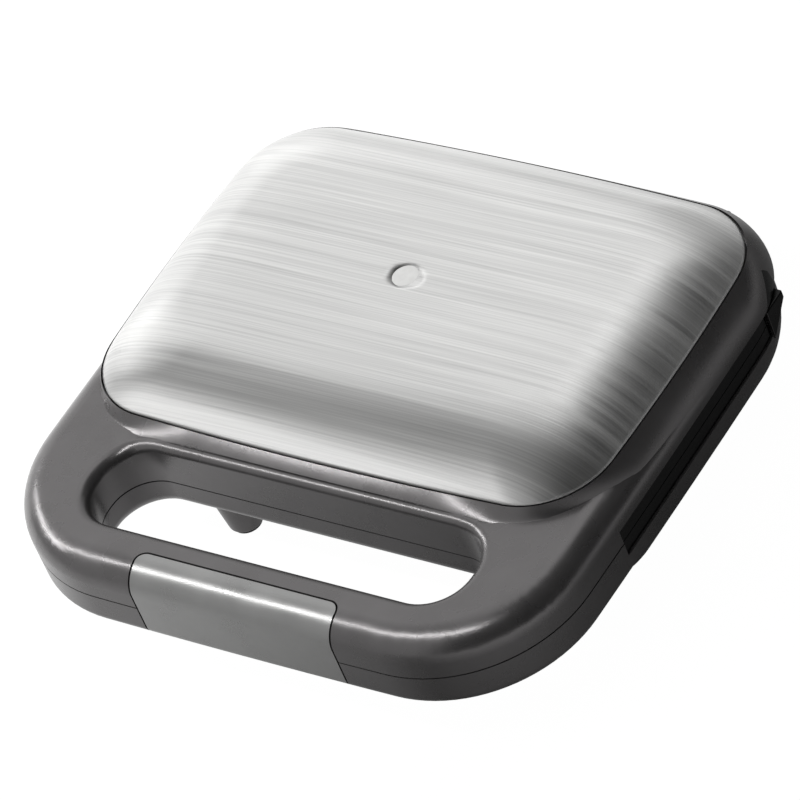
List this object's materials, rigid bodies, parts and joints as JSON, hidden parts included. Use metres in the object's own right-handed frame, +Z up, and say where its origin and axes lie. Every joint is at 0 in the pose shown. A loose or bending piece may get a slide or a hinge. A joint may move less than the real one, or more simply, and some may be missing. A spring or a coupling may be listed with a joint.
{
  "type": "sandwich maker",
  "caption": "Countertop sandwich toaster: hinged lid with a domed steel cover, loop handle with a front latch, and paired plates with triangular pockets.",
  "frame": {"origin": "on the table, under the middle of the object's bounding box", "axes": "+X to the right as seen by a person facing the handle, +Y towards the hinge, +Z up"},
  "size_m": [0.235, 0.2354, 0.0777],
  "materials": {
    "housing": "satin",
    "latch": "satin",
    "steel_cover": "brushed along the width",
    "non_stick": "black non-stick coating",
    "heater_sheath": "dull",
    "reflector": "bright",
    "hardware": "plain",
    "terminal_block": "matte",
    "gland": "matte",
    "foot_pad": "matte",
    "lens": "clear tinted",
    "lamp": "clear"
  },
  "bodies": {
    "base": {"lower_housing": "housing", "front_left_foot": "housing", "front_right_foot": "housing", "rear_left_foot": "housing", "rear_right_foot": "housing", "lower_plate": "non_stick", "lower_heater": "heater_sheath", "lower_reflector": "reflector", "lower_plate_screws": "hardware", "lower_reflector_screws": "hardware", "left_hinge_pin": "hardware", "right_hinge_pin": "hardware", "thermostat": "hardware", "thermal_fuse": "hardware", "terminal_block": "terminal_block", "cord_gland": "gland", "front_left_foot_pad": "foot_pad", "front_right_foot_pad": "foot_pad", "rear_left_foot_pad": "foot_pad", "rear_right_foot_pad": "foot_pad"},
    "lid": {"upper_housing": "housing", "lid_cover": "steel_cover", "pilot_lens": "lens", "pilot_lamp": "lamp", "upper_plate": "non_stick", "upper_heater": "heater_sheath", "upper_reflector": "reflector", "upper_plate_screws": "hardware", "upper_reflector_screws": "hardware", "latch_pin": "hardware"},
    "latch": {"latch": "latch"}
  },
  "joints": [
    {"name": "lid_hinge", "type": "hinge", "parent": "base", "child": "lid", "pos_m": [0, 0.11275, 0.0315], "axis": [-1, 0, 0], "range_deg": [0, 100]},
    {"name": "latch_pivot", "type": "hinge", "parent": "lid", "child": "latch", "pos_m": [0, -0.10815, 0.0516], "axis": [-1, 0, 0], "range_deg": [0, 8]}
  ]
}
